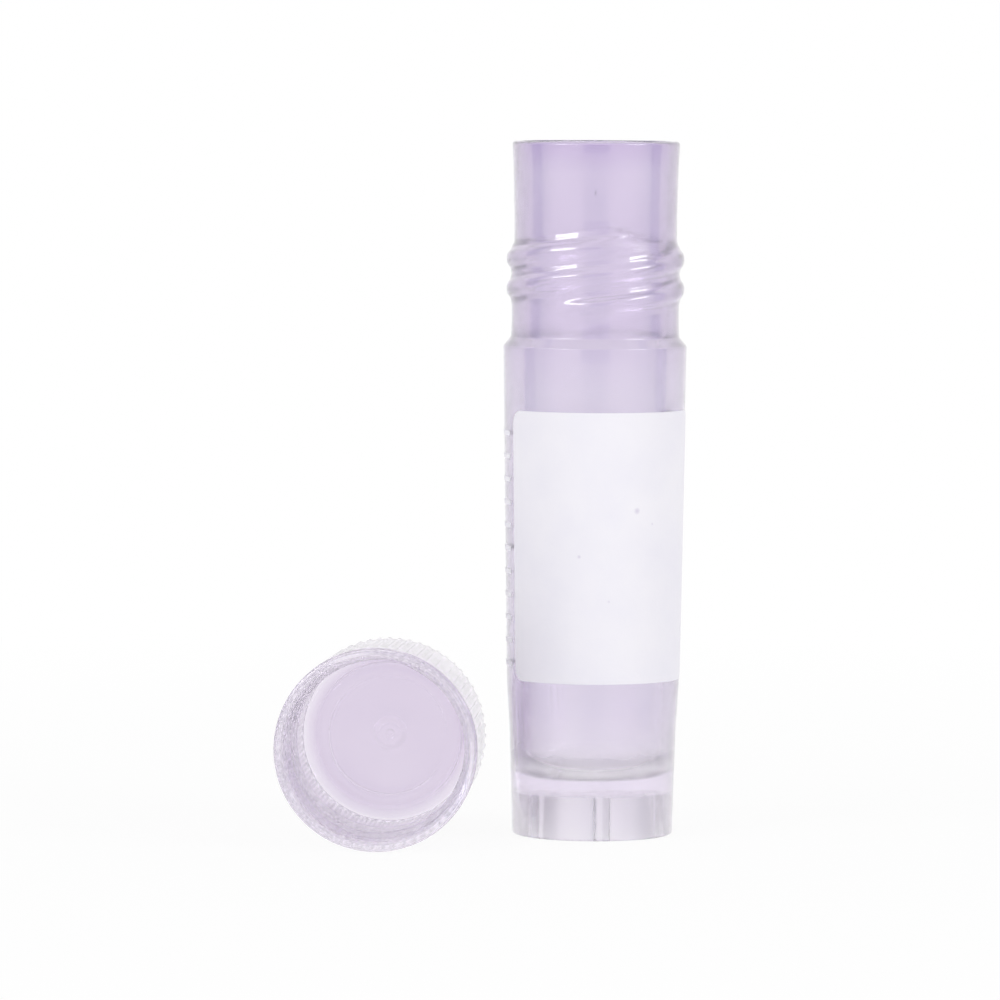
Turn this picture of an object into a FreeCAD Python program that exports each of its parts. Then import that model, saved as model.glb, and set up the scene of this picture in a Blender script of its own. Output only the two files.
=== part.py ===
import FreeCAD, Part
import math
import os

from FreeCAD import Placement, Rotation, Vector

# A self-standing 2 ml cryogenic vial, uncapped. The tube stands on its foot and its screw cap lies
# beside it on the same surface. Both are injection moulded in natural polypropylene, each in one shot.
# Millimetres. The origin is the centre of the tube's base, +Z is up the tube, and -Y is the front,
# where the white writing patch faces. Angles are in degrees about the tube, from +X towards +Y.

# Driving dimensions of the tube's outside.
TUBE_HEIGHT = 46.2
BASE_RADIUS = 5.34
BASE_ROUND = 0.4
FOOT_BEND_HEIGHT = 7.2  # from here up to FOOT_HEIGHT the foot widens faster, into the body
FOOT_BEND_RADIUS = 5.55
FOOT_HEIGHT = 10.0
FOOT_TOP_RADIUS = 5.74
BODY_HEIGHT = 32.6  # up to the edge of the shoulder
BODY_TOP_RADIUS = 6.10
SHOULDER_RISE = 0.6
SHOULDER_EDGE_ROUND = 0.12
SHOULDER_FILLET = 0.35
NECK_RADIUS = 5.56  # below and between the threads
WAIST_RADIUS = 5.41  # just above the threads
WAIST_START = 38.9
WAIST_RISE = 0.7
WAIST_TOP = 41.0  # from here the neck flares out again
LIP_RADIUS = 5.58
LIP_ROUND = 0.25
LIP_FLARE = 1.8  # height of the last, stronger part of the neck's flare
FLARE_RADIUS = 5.49  # where that part starts

# Driving dimensions of the bore.
BORE_LIP_RADIUS = 4.98
BORE_LIP_ROUND = 0.12
BORE_SEAL_RADIUS = 4.80  # below the conical seat that the cap's plug closes
BORE_SEAT_DEPTH = 3.0
BORE_SHOULDER_RADIUS = 4.68
BORE_FOOT_RADIUS = 4.54
BORE_CORNER = 2.1
BORE_FLOOR = 3.85

# Driving dimensions of the star recess under the foot, which locks the vial on a rack's star post.
STAR_RIBS = 6
STAR_DEPTH = 2.8
STAR_RADIUS = 4.25
STAR_ROOF_RADIUS = 4.05
STAR_RIB_WIDTH = 1.05
STAR_RIB_TIP_RADIUS = 2.9
STAR_RIB_BEVEL = 0.35
STAR_RIB_ANGLE = -82.5  # of the first rib

# Driving dimensions of the screw thread, right-handed with two starts.
THREAD_STARTS = 2
RIDGE_SPACING = 1.98  # from one ridge to the next, up the neck
THREAD_LOW = 35.0  # middle of a ridge where it starts
THREAD_HIGH = 39.75  # middle of a ridge where it ends
THREAD_START_ANGLE = -127.0
CREST_RADIUS = 5.913
RIDGE_FOOT_HALF = 0.95  # half the ridge's width at its root, which lies inside the wall
RIDGE_CREST_HALF = 0.38
RIDGE_FADE = 42.0  # degrees over which each end of a ridge sinks into the wall
RIDGE_STEP = 14.0  # degrees between the sections that a ridge runs through
RIDGE_EMBED = 0.18  # how far the root lies below the neck's surface
RIDGE_STUB = 0.02  # what is left of the ridge's height at its buried ends

# Driving dimensions of the cap. Its own frame has +Z from the mouth to the closed top.
CAP_MOUTH_RADIUS = 6.66
CAP_TOP_RADIUS = 6.48
CAP_TOP_WALL = 1.4
CAP_TOP_ROUND = 1.1
CAP_MOUTH_ROUND = 0.3
CAP_RIM = 0.9  # plain rim between the mouth and the grip ribs
GRIP_RIBS = 60
GRIP_DEPTH = 0.13
GRIP_FOOT = 0.42  # width of a rib at its root
GRIP_CREST = 0.20
GRIP_INSET = 0.03  # how far the ribs lie back from the rim
GATE_RADIUS = 1.15  # of the dimple in the middle of the top
GATE_FLOOR_RADIUS = 0.75
GATE_DEPTH = 0.3
GATE_STUB_RADIUS = 0.3
GATE_STUB_HEIGHT = 0.12
PLUG_INNER_RADIUS = 3.95
PLUG_LENGTH = 1.5
PLUG_TIP_ROUND = 0.3
CAP_RIDGE_TURNS = 0.85
CAP_RIDGE_FOOT_HALF = 0.62
CAP_RIDGE_CREST_HALF = 0.26
CAP_RIDGE_EMBED = 0.12
CAP_RIDGE_LEAD_IN = 1.0  # depth of the cap's thread where it starts behind the mouth
MOUTH_BEVEL = 0.2  # inside the cap's mouth

# Clearances between the cap and the neck it screws on.
MOUTH_CLEARANCE = 0.2  # between the tightened cap's mouth and the shoulder
CREST_CLEARANCE = 0.08
ROOT_CLEARANCE = 0.12
LIP_CLEARANCE = 0.21  # between the lip's outside and the cap's wall
PLUG_CLEARANCE = 0.02
FLANK_CLEARANCE = 0.03

# Where the cap lies: on its side, its mouth to the front and turned a little to the left.
CAP_GAP = 1.15  # between the widest parts of the cap and the tube
CAP_MIDDLE_Y = -5.2
CAP_YAW = 3.2

# Driving dimensions of the screen print on the body.
INK_THICKNESS = 0.04
PATCH_LOW = 10.45
PATCH_HIGH = 28.4
PATCH_LEFT = -153.5
PATCH_RIGHT = -2.0
PATCH_CORNER = 0.9
TRIM_REACH = 2.0  # size of the blocks that trim the patch's corners
TICKS = 11
TICK_LOW = 11.5
TICK_SPACING = 1.535  # 0.1 ml in the bore
TICK_LINE = 0.32
TICK_TO_PATCH = 5.5  # degrees between the ticks and the patch
TICK_LENGTH = 2.2
LONG_TICK_LENGTH = 3.3
LONG_TICK_EVERY = 5

# Worked out from the sizes above.
SHOULDER_HEIGHT = BODY_HEIGHT + SHOULDER_RISE
THREAD_LEAD = THREAD_STARTS * RIDGE_SPACING
CAP_SEAT = SHOULDER_HEIGHT + MOUTH_CLEARANCE  # height of the tightened cap's mouth
CAP_DEPTH = TUBE_HEIGHT - CAP_SEAT
CAP_HEIGHT = CAP_DEPTH + CAP_TOP_WALL
CAP_RELIEF_RADIUS = CREST_RADIUS + CREST_CLEARANCE
CAP_CREST_RADIUS = NECK_RADIUS + ROOT_CLEARANCE
CAP_BORE_RADIUS = LIP_RADIUS + LIP_CLEARANCE
GRIP_TOP = CAP_HEIGHT - CAP_TOP_ROUND  # the ribs end where the top rounds off

ROUND_FLAT = 0.9  # roundings are made of flats of at most this length
LONG_SLOPE = 0.75
UP = Vector(0, 0, 1)
ORIGIN = Vector(0, 0, 0)


def plain(start, end):
    """A straight edge."""
    return Part.LineSegment(start, end).toShape()


def light(start, end):
    """A straight edge; a long slope is a spline of one span, which turns into a lighter face than a cone."""
    sloped = abs(start.x - end.x) > 1e-6 and abs(start.z - end.z) > 1e-6
    if not sloped or (end - start).Length < LONG_SLOPE:
        return plain(start, end)
    slope = Part.BSplineCurve()
    slope.buildFromPoles([start, end], False, 1)
    return slope.toShape()


def corner_points(corner, last, following, rounding):
    """Where a corner of an outline is rounded off by short flats about ROUND_FLAT long."""
    if rounding == 0:
        return [corner]
    to_last = last - corner
    to_next = following - corner
    half = to_last.getAngle(to_next) / 2
    reach = min(rounding / math.tan(half), 0.45 * to_last.Length, 0.45 * to_next.Length)
    radius = reach * math.tan(half)
    to_last.normalize()
    to_next.normalize()
    centre = corner + (to_last + to_next).normalize() * (reach / math.cos(half))
    first = corner + to_last * reach - centre
    final = corner + to_next * reach - centre
    first_angle = math.atan2(first.z, first.x)
    sweep = (math.atan2(final.z, final.x) - first_angle + math.pi) % (2 * math.pi) - math.pi
    flats = math.ceil(radius * abs(sweep) / ROUND_FLAT)
    angles = [first_angle + sweep * number / flats for number in range(flats + 1)]
    return [centre + Vector(math.cos(angle), 0, math.sin(angle)) * radius for angle in angles]


def turned(corners):
    """Solid of revolution about the Z axis, from (radius, height, rounding) corners."""
    places = [Vector(radius, 0, height) for radius, height, rounding in corners]
    points = []
    for number, place in enumerate(places):
        following = places[(number + 1) % len(places)]
        points += corner_points(place, places[number - 1], following, corners[number][2])
    edges = [light(point, points[(number + 1) % len(points)]) for number, point in enumerate(points)]
    return Part.Face(Part.Wire(edges)).revolve(ORIGIN, UP, 360)


def thread_ridge(base_radius, crest_radius, foot_half, crest_half, low, start_angle, degrees):
    """One helical ridge, its crest away from base_radius, with both ends sunk into the wall."""
    outwards = 1 if crest_radius > base_radius else -1
    height = abs(crest_radius - base_radius)
    step_count = math.ceil(degrees / RIDGE_STEP)
    sections = []
    for step in range(step_count + 1):
        turned_by = degrees * step / step_count
        grown = min(1.0, min(turned_by, degrees - turned_by) / RIDGE_FADE)
        grown = grown * grown * (3 - 2 * grown)
        tall = RIDGE_STUB + (height - RIDGE_STUB) * grown
        crest = base_radius + outwards * tall
        middle = low + THREAD_LEAD * turned_by / 360
        outline = [
            Vector(base_radius, 0, middle - foot_half),
            Vector(crest, 0, middle - crest_half),
            Vector(crest, 0, middle + crest_half),
            Vector(base_radius, 0, middle + foot_half),
        ]
        section = Part.makePolygon(outline + outline[:1])
        section.rotate(ORIGIN, UP, start_angle + turned_by)
        sections.append(section)
    return Part.makeLoft(sections, True, False)


def star_recess():
    """The pocket under the foot: a drafted disc with ribs left standing from the skirt inwards."""
    pocket = turned([(0, 0, 0), (STAR_RADIUS, 0, 0), (STAR_ROOF_RADIUS, STAR_DEPTH, 0), (0, STAR_DEPTH, 0)])
    half = STAR_RIB_WIDTH / 2
    outline = [
        Vector(BASE_RADIUS, -half, 0),
        Vector(STAR_RIB_TIP_RADIUS + STAR_RIB_BEVEL, -half, 0),
        Vector(STAR_RIB_TIP_RADIUS, STAR_RIB_BEVEL - half, 0),
        Vector(STAR_RIB_TIP_RADIUS, half - STAR_RIB_BEVEL, 0),
        Vector(STAR_RIB_TIP_RADIUS + STAR_RIB_BEVEL, half, 0),
        Vector(BASE_RADIUS, half, 0),
    ]
    for number in range(STAR_RIBS):
        rib = Part.Face(Part.makePolygon(outline + outline[:1])).extrude(UP * STAR_DEPTH)
        rib.rotate(ORIGIN, UP, STAR_RIB_ANGLE + 360 * number / STAR_RIBS)
        pocket = pocket.cut(rib)
    return pocket


def make_tube():
    """The tube with its foot, shoulder, threaded neck and flared lip."""
    blank = turned(
        [
            (0, 0, 0),
            (BASE_RADIUS, 0, BASE_ROUND),
            (FOOT_BEND_RADIUS, FOOT_BEND_HEIGHT, 0),
            (FOOT_TOP_RADIUS, FOOT_HEIGHT, 0),
            (BODY_TOP_RADIUS, BODY_HEIGHT, SHOULDER_EDGE_ROUND),
            (NECK_RADIUS, SHOULDER_HEIGHT, SHOULDER_FILLET),
            (NECK_RADIUS, WAIST_START, 0),
            (WAIST_RADIUS, WAIST_START + WAIST_RISE, 0),
            (WAIST_RADIUS, WAIST_TOP, 0),
            (FLARE_RADIUS, TUBE_HEIGHT - LIP_FLARE, 0),
            (LIP_RADIUS, TUBE_HEIGHT, LIP_ROUND),
            (BORE_LIP_RADIUS, TUBE_HEIGHT, BORE_LIP_ROUND),
            (BORE_SEAL_RADIUS, TUBE_HEIGHT - BORE_SEAT_DEPTH, 0),
            (BORE_SHOULDER_RADIUS, BODY_HEIGHT, 0),
            (BORE_FOOT_RADIUS, BORE_FLOOR, BORE_CORNER),
            (0, BORE_FLOOR, 0),
        ]
    )
    tube = blank.cut(star_recess())
    degrees = 360 * (THREAD_HIGH - THREAD_LOW) / THREAD_LEAD
    for start in range(THREAD_STARTS):
        ridge = thread_ridge(
            NECK_RADIUS - RIDGE_EMBED,
            CREST_RADIUS,
            RIDGE_FOOT_HALF,
            RIDGE_CREST_HALF,
            THREAD_LOW,
            THREAD_START_ANGLE + 360 * start / THREAD_STARTS,
            degrees,
        )
        tube = tube.fuse(ridge)
    return tube


def grip_radius(height):
    """Radius over the crests of the cap's ribs at a height above its mouth."""
    start = CAP_MOUTH_RADIUS - GRIP_INSET
    return start - (start - CAP_TOP_RADIUS) * height / CAP_HEIGHT


def grip_section(height):
    """Outline of the ribbed wall at a height above the mouth."""
    scale = grip_radius(height) / grip_radius(0)
    root_radius = grip_radius(0) - GRIP_DEPTH
    sides = (
        (root_radius, -GRIP_FOOT / 2),
        (grip_radius(0), -GRIP_CREST / 2),
        (grip_radius(0), GRIP_CREST / 2),
        (root_radius, GRIP_FOOT / 2),
    )
    points = []
    for number in range(GRIP_RIBS):
        for radius, across in sides:
            angle = 2 * math.pi * number / GRIP_RIBS + across / grip_radius(0)
            points.append(Vector(math.cos(angle), math.sin(angle), 0) * radius * scale + UP * height)
    return Part.makePolygon(points + points[:1])


def make_cap():
    """The cap in its own frame: mouth at height 0, closed top at CAP_HEIGHT."""
    rim = turned(
        [
            (0, 0, 0),
            (CAP_MOUTH_RADIUS, 0, CAP_MOUTH_ROUND),
            (CAP_MOUTH_RADIUS, CAP_RIM, 0),
            (0, CAP_RIM, 0),
        ]
    )
    grip = Part.makeLoft([grip_section(CAP_RIM / 2), grip_section(GRIP_TOP)], True, True)
    root_radius = grip_radius(GRIP_TOP) - GRIP_DEPTH - GRIP_INSET
    top = turned(
        [
            (0, CAP_RIM, 0),
            (root_radius, CAP_RIM, 0),
            (root_radius, CAP_HEIGHT, CAP_TOP_ROUND),
            (GATE_RADIUS, CAP_HEIGHT, 0),
            (GATE_FLOOR_RADIUS, CAP_HEIGHT - GATE_DEPTH, 0),
            (GATE_STUB_RADIUS, CAP_HEIGHT - GATE_DEPTH, 0),
            (GATE_STUB_RADIUS, CAP_HEIGHT - GATE_DEPTH + GATE_STUB_HEIGHT, 0),
            (0, CAP_HEIGHT - GATE_DEPTH + GATE_STUB_HEIGHT, 0),
        ]
    )
    outside = grip.fuse([rim, top])

    # The plug follows the flare of the lip that it closes.
    flare = (BORE_LIP_RADIUS - BORE_SEAL_RADIUS) / BORE_SEAT_DEPTH
    plug_root_radius = BORE_LIP_RADIUS - PLUG_CLEARANCE
    plug_tip_radius = plug_root_radius - flare * PLUG_LENGTH
    plug_tip = CAP_DEPTH - PLUG_LENGTH
    relief_depth = THREAD_HIGH + RIDGE_FOOT_HALF + MOUTH_CLEARANCE - CAP_SEAT
    step = CAP_RELIEF_RADIUS - CAP_BORE_RADIUS
    hollow = turned(
        [
            (0, 0, 0),
            (CAP_RELIEF_RADIUS + MOUTH_BEVEL, 0, 0),
            (CAP_RELIEF_RADIUS, MOUTH_BEVEL, 0),
            (CAP_RELIEF_RADIUS, relief_depth, 0),
            (CAP_BORE_RADIUS, relief_depth + step, 0),
            (CAP_BORE_RADIUS, CAP_DEPTH, 0),
            (plug_root_radius, CAP_DEPTH, 0),
            (plug_tip_radius, plug_tip, PLUG_TIP_ROUND),
            (PLUG_INNER_RADIUS, plug_tip, 0),
            (PLUG_INNER_RADIUS, CAP_DEPTH, 0),
            (0, CAP_DEPTH, 0),
        ]
    )

    # When the cap is tight its crests pull up against the lower flanks of the neck's ridges.
    share = (CREST_RADIUS - CAP_CREST_RADIUS) / (CREST_RADIUS - NECK_RADIUS + RIDGE_EMBED)
    flank_half = RIDGE_CREST_HALF + (RIDGE_FOOT_HALF - RIDGE_CREST_HALF) * share
    below = flank_half + CAP_RIDGE_CREST_HALF + FLANK_CLEARANCE
    phase = (THREAD_LOW - below - CAP_SEAT - CAP_RIDGE_LEAD_IN) / THREAD_LEAD * 360
    for start in range(THREAD_STARTS):
        ridge = thread_ridge(
            CAP_RELIEF_RADIUS + CAP_RIDGE_EMBED,
            CAP_CREST_RADIUS,
            CAP_RIDGE_FOOT_HALF,
            CAP_RIDGE_CREST_HALF,
            CAP_RIDGE_LEAD_IN,
            THREAD_START_ANGLE - phase + 360 * start / THREAD_STARTS,
            360 * CAP_RIDGE_TURNS,
        )
        hollow = hollow.cut(ridge)

    return outside.cut(hollow)


def lay_down(cap):
    """Lays the tapered cap on its side, on its rim and on the top end of one rib."""
    middle_x = -(BODY_TOP_RADIUS + CAP_GAP + CAP_MOUTH_RADIUS)
    tilt = math.atan((CAP_MOUTH_RADIUS - grip_radius(GRIP_TOP)) / (GRIP_TOP - CAP_RIM))
    yaw = math.radians(CAP_YAW)
    reach = CAP_HEIGHT / 2 * math.cos(tilt)
    mouth = Vector(
        middle_x - reach * math.sin(yaw),
        CAP_MIDDLE_Y - reach * math.cos(yaw),
        CAP_MOUTH_RADIUS * math.cos(tilt) + CAP_RIM * math.sin(tilt),
    )
    tip_over = Rotation(Vector(1, 0, 0), -90 - math.degrees(tilt))
    turn = Rotation(UP, -CAP_YAW)
    laid = cap.copy()
    laid.Placement = Placement(mouth, turn.multiply(tip_over))
    return laid


def body_radius(height):
    """Outside radius of the body's cone, which carries the print."""
    share = (height - FOOT_HEIGHT) / (BODY_HEIGHT - FOOT_HEIGHT)
    return FOOT_TOP_RADIUS + (BODY_TOP_RADIUS - FOOT_TOP_RADIUS) * share


def film(low, high, first_angle, last_angle, edge=plain):
    """A layer of ink on the body between two heights and two angles."""
    corners = [
        Vector(body_radius(low), 0, low),
        Vector(body_radius(low) + INK_THICKNESS, 0, low),
        Vector(body_radius(high) + INK_THICKNESS, 0, high),
        Vector(body_radius(high), 0, high),
    ]
    edges = [edge(corner, corners[(number + 1) % 4]) for number, corner in enumerate(corners)]
    section = Part.Face(Part.Wire(edges))
    section.rotate(ORIGIN, UP, first_angle)
    return section.revolve(ORIGIN, UP, last_angle - first_angle)


def corner_trim(edge_angle, inwards, edge_height, upwards):
    """What rounding removes at one corner of the patch; inwards and upwards are +1 or -1."""
    radius = body_radius(edge_height)
    centre_angle = edge_angle + inwards * math.degrees(PATCH_CORNER / radius)
    centre_height = edge_height + upwards * PATCH_CORNER
    side = 0 if inwards < 0 else -TRIM_REACH
    drop = 0 if upwards < 0 else -TRIM_REACH
    inner = radius - TRIM_REACH / 2
    block = Part.makeBox(TRIM_REACH, TRIM_REACH, TRIM_REACH, Vector(inner, side, centre_height + drop))
    disc_middle = Vector(inner, 0, centre_height)
    disc = Part.makeCylinder(PATCH_CORNER, TRIM_REACH, disc_middle, Vector(1, 0, 0))
    trim = block.cut(disc)
    trim.rotate(ORIGIN, UP, centre_angle)
    return trim


def make_patch():
    """The white writing patch: a plain middle, and two side strips with the rounded corners."""
    strip = math.degrees(PATCH_CORNER / body_radius(PATCH_LOW))
    middle = film(PATCH_LOW, PATCH_HIGH, PATCH_LEFT + strip, PATCH_RIGHT - strip, light)
    sides = []
    for edge_angle, inwards in ((PATCH_LEFT, 1), (PATCH_RIGHT, -1)):
        ends = sorted((edge_angle, edge_angle + inwards * strip))
        side = film(PATCH_LOW, PATCH_HIGH, ends[0], ends[1])
        for edge_height, upwards in ((PATCH_LOW, 1), (PATCH_HIGH, -1)):
            side = side.cut(corner_trim(edge_angle, inwards, edge_height, upwards))
        sides.append(side)
    return middle.fuse(sides)


def make_ticks():
    """The graduation ticks, one every 0.1 ml, left of the patch."""
    ticks = []
    for number in range(TICKS):
        height = TICK_LOW + TICK_SPACING * number
        length = TICK_LENGTH if number % LONG_TICK_EVERY else LONG_TICK_LENGTH
        right = PATCH_LEFT - TICK_TO_PATCH
        left = right - math.degrees(length / body_radius(height))
        ticks.append(film(height - TICK_LINE / 2, height + TICK_LINE / 2, left, right))
    return Part.makeCompound(ticks)


os.makedirs("parts", exist_ok=True)
make_tube().exportStep("parts/tube.step")
lay_down(make_cap()).exportStep("parts/cap.step")
make_patch().exportStep("parts/writing_patch.step")
make_ticks().exportStep("parts/graduation_marks.step")
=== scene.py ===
import math

import bpy
import numpy as np
from mathutils import Matrix, Vector


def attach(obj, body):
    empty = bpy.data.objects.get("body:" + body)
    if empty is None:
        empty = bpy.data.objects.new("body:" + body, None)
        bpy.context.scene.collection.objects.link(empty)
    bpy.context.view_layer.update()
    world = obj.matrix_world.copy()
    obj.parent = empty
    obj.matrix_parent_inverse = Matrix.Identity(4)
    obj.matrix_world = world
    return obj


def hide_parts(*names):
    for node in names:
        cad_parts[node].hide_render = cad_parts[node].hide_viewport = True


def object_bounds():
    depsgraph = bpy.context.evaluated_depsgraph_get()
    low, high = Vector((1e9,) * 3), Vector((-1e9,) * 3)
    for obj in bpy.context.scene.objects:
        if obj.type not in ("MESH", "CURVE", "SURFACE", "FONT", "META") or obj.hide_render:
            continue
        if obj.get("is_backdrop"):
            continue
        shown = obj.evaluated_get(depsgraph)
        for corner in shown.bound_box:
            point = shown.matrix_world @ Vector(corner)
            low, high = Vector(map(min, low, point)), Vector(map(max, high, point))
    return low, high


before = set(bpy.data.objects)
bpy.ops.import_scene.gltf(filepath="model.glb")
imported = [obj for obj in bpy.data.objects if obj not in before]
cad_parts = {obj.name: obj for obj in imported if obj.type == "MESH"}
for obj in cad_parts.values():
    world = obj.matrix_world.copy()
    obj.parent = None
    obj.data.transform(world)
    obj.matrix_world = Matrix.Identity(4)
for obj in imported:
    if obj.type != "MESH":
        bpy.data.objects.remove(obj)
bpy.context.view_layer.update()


# ---------------------------------------------------------------------------------------------
# The tube: natural polypropylene, injection moulded in one shot, with a star of ribs under its foot
# and a two-start thread round its neck. It stands on its foot. One lathed skin in millimetres runs
# from the roof of the star over the outside and the lip, and down the bore to its floor.
MM = 0.001
TUBE_HEIGHT = 46.2
BODY_HEIGHT = 32.6
BODY_TOP_RADIUS = 6.10
FOOT_HEIGHT = 10.0
FOOT_TOP_RADIUS = 5.74
NECK_RADIUS = 5.56
BORE_LIP_RADIUS = 4.98
BORE_LIP_ROUND = 0.12
BORE_FLOOR = 3.85
TUBE_STEP = 1.6  # longest stretch of a profile between two rings
SKIN_SHARP = 40

# The star pocket: six ribs stand inwards, each drawn by half, from between two ribs to its middle.
STAR_DEPTH = 2.8
STAR_HEIGHTS = (STAR_DEPTH, 2.1, 1.4, 0.7, 0.0)
STAR_RADIUS = 4.25
STAR_ROOF_RADIUS = 4.05
STAR_RIBS = 6
STAR_RIB_HALF = 0.525
STAR_RIB_TIP = 2.9
STAR_RIB_BEVEL = 0.35
STAR_RIB_ANGLE = -82.5
HALF_KNOTS = (0, 10, 16, 19, 24)  # steps where the arc, the rib's side, its bevel and its tip begin and end
ROOF_SHARES = (0.15, 0.6, 1.0)
ROOF_RING = 2.85
ROOF_RING_DEGREES = (30, 14, 10.6, 3.5, 0)
BASE_RING = 4.75
BASE_RING_DEGREES = (30, 6.35, 4.8, 2.1, 0)
TUBE_SIDES = 2 * STAR_RIBS * HALF_KNOTS[-1]

THREAD_LOW = 35.0
THREAD_HIGH = 39.75
THREAD_LEAD = 3.96
THREAD_STARTS = (0, 180)
THREAD_START_ANGLE = -127.0
THREAD_TURNS = range(-2, 4)  # whole turns to look through for the ridge, wherever it starts
THREAD_FADE = 42.0
CREST_RADIUS = 5.913
RIDGE_DISTANCES = (0.0, 0.12, 0.22, 0.33, 0.40, 0.46, 0.52, 0.58, 0.66, 0.76, 0.88, 1.0, 1.1)
RIDGE_HEIGHTS = (1.0, 0.985, 0.94, 0.83, 0.71, 0.58, 0.45, 0.35, 0.26, 0.20, 0.14, 0.05, 0.0)
THREAD_FROM, THREAD_TO, THREAD_STEP = 34.3, 41.3, 0.075
NECK_FROM, NECK_TO = 33.9, 45.0

# Corners as (radius, height, rounding).
TUBE_OUTSIDE = [
    (4.94, 0.0, 0.0),
    (5.34, 0.0, 0.38),
    (5.55, 7.2, 12.0),
    (FOOT_TOP_RADIUS, FOOT_HEIGHT, 12.0),
    (BODY_TOP_RADIUS, BODY_HEIGHT, 0.13),
    (5.60, 33.2, 0.30),
    (NECK_RADIUS, 34.2, 0.0),
    (NECK_RADIUS, 38.9, 0.5),
    (5.41, 39.6, 0.8),
    (5.41, 41.0, 4.0),
    (5.49, 44.4, 8.0),
    (5.58, TUBE_HEIGHT, 0.22),
    (BORE_LIP_RADIUS, TUBE_HEIGHT, BORE_LIP_ROUND),
]
TUBE_BORE = [
    (BORE_LIP_RADIUS, TUBE_HEIGHT, BORE_LIP_ROUND),
    (4.80, 43.2, 6.0),
    (4.68, BODY_HEIGHT, 6.0),
    (4.54, BORE_FLOOR, 2.1),
    (0.0, BORE_FLOOR, 0.0),
]
ARC_STEP = 11  # degrees between the points of a rounded corner
ARC_REACH = 0.48  # the share of a stretch that a rounding may take up


def rounded(corners):
    """A profile as (radius, height) points, each corner rounded by an arc of the radius it states."""
    out = []
    for number, (radius, height, rounding) in enumerate(corners):
        here = np.array((radius, height), float)
        if rounding == 0 or number in (0, len(corners) - 1):
            out.append(here)
            continue
        back = np.array(corners[number - 1][:2]) - here
        on = np.array(corners[number + 1][:2]) - here
        back_length, on_length = np.linalg.norm(back), np.linalg.norm(on)
        back, on = back / back_length, on / on_length
        half = math.acos(np.clip(back @ on, -1, 1)) / 2
        reach = min(rounding / math.tan(half), ARC_REACH * back_length, ARC_REACH * on_length)
        bend = reach * math.tan(half)
        middle = here + (back + on) / np.linalg.norm(back + on) * reach / math.cos(half)
        first, last = here + back * reach - middle, here + on * reach - middle
        start = math.atan2(first[1], first[0])
        sweep = (math.atan2(last[1], last[0]) - start + math.pi) % (2 * math.pi) - math.pi
        steps = max(2, math.ceil(abs(sweep) / math.radians(ARC_STEP)))
        for step in range(steps + 1):
            angle = start + sweep * step / steps
            out.append(middle + bend * np.array((math.cos(angle), math.sin(angle))))
    return out


def refined(points, step):
    """The same profile with no stretch longer than step."""
    out = [points[0]]
    for a, b in zip(points, points[1:]):
        count = max(1, math.ceil(np.linalg.norm(b - a) / step))
        out += [a + (b - a) * k / count for k in range(1, count + 1)]
    return out


def circle(radii, height, angles):
    """A ring of points at the given angles in radians; the radius may differ from point to point."""
    radii = np.broadcast_to(radii, angles.shape)
    return np.stack([radii * np.cos(angles), radii * np.sin(angles), np.full_like(angles, height)], 1)


def mesh_object(name, points, faces, sharp):
    """A smooth object from points in millimetres, with edges over the sharp angle in degrees kept crisp."""
    mesh = bpy.data.meshes.new(name)
    mesh.from_pydata((np.asarray(points) * MM).tolist(), [], faces)
    mesh.validate()
    mesh.polygons.foreach_set("use_smooth", [True] * len(mesh.polygons))
    mesh.set_sharp_from_angle(angle=math.radians(sharp))
    mesh.update()
    thing = bpy.data.objects.new(name, mesh)
    bpy.context.scene.collection.objects.link(thing)
    return thing


def skin(name, rings, sharp=SKIN_SHARP):
    """A closed smooth mesh from rings of points in millimetres; the first and last ring close on a point."""
    rings = np.asarray(rings, float)
    rows, sides = rings.shape[:2]
    poles = np.array([rings[0].mean(0), rings[-1].mean(0)])
    here = np.arange(sides)
    beside = (here + 1) % sides
    faces = []
    for row in range(rows - 1):
        low, high = row * sides, (row + 1) * sides
        faces += np.stack([low + here, low + beside, high + beside, high + here], 1).tolist()
    first_pole, last_pole, last_row = rows * sides, rows * sides + 1, (rows - 1) * sides
    faces += [[first_pole, int(b), int(a)] for a, b in zip(here, beside)]
    faces += [[last_pole, int(last_row + a), int(last_row + b)] for a, b in zip(here, beside)]
    return mesh_object(name, np.vstack([rings.reshape(-1, 3), poles]), faces, sharp)


def thread_rise(degrees, height, low, span, start_angle, distances, heights):
    """How far a two-start thread stands from its wall, from 0 to 1, at each angle of one height."""
    rise = np.zeros_like(degrees)
    for start in THREAD_STARTS:
        for turn in THREAD_TURNS:
            along = degrees + 360 * turn - start_angle - start
            middle = low + THREAD_LEAD * along / 360
            grown = np.clip(np.minimum(along, span - along) / THREAD_FADE, 0, 1)
            grown = grown * grown * (3 - 2 * grown)
            one = np.interp(np.abs(height - middle), distances, heights) * grown
            rise = np.maximum(rise, np.where((along >= 0) & (along <= span), one, 0))
    return rise


def star_half(outer):
    """Half of one rib's share of the pocket's outline, as (along, across) points about the rib's middle."""
    side = math.asin(STAR_RIB_HALF / outer)
    steps = np.arange(HALF_KNOTS[-1] + 1)
    turn = np.interp(steps, HALF_KNOTS[:2], (math.pi / STAR_RIBS, side))
    along = (outer * math.cos(side), STAR_RIB_TIP + STAR_RIB_BEVEL, STAR_RIB_TIP, STAR_RIB_TIP)
    across = (STAR_RIB_HALF, STAR_RIB_HALF, STAR_RIB_HALF - STAR_RIB_BEVEL, 0)
    on_arc = steps < HALF_KNOTS[1]
    x = np.where(on_arc, outer * np.cos(turn), np.interp(steps, HALF_KNOTS[1:], along))
    y = np.where(on_arc, outer * np.sin(turn), np.interp(steps, HALF_KNOTS[1:], across))
    return np.stack([x, y], 1)


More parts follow.
